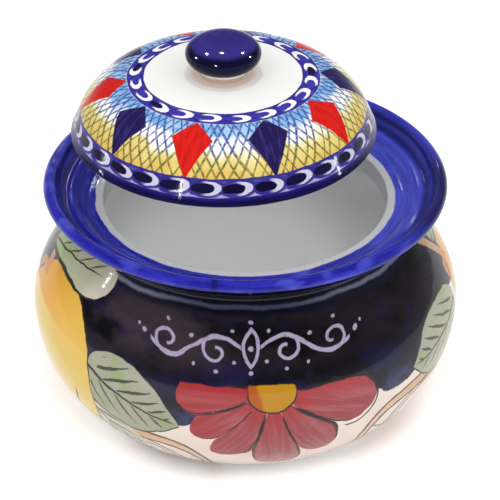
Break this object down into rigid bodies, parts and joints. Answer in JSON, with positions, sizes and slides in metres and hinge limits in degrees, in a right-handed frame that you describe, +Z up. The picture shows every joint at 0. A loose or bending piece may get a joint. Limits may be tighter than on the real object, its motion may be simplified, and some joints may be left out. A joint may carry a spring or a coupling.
{
  "type": "biscuit jar",
  "caption": "Round-bellied glazed ceramic jar with a flared collar and a domed lid with a mushroom knob, lid lifted off its seat.",
  "frame": {"origin": "centre of the foot, on the surface the jar stands on", "axes": "+Z up along the pot's axis, +X to the right and -Y towards the viewer"},
  "size_m": [0.216, 0.216, 0.1937],
  "materials": {
    "jar_glaze": "glossy hand-painted glaze, cobalt and navy above, cream below",
    "lid_glaze": "glossy hand-painted glaze, white with blue and yellow bands",
    "knob_glaze": "glossy cobalt glaze on a cream stem"
  },
  "bodies": {
    "pot": {"jar": "jar_glaze"},
    "cover": {"lid": "lid_glaze", "knob": "knob_glaze"}
  },
  "joints": [
    {"name": "lid_lift", "type": "slide", "parent": "pot", "child": "cover", "axis": [-0.3115, 0.4287, 0.848], "range_m": [-0.034, 0.12]}
  ]
}
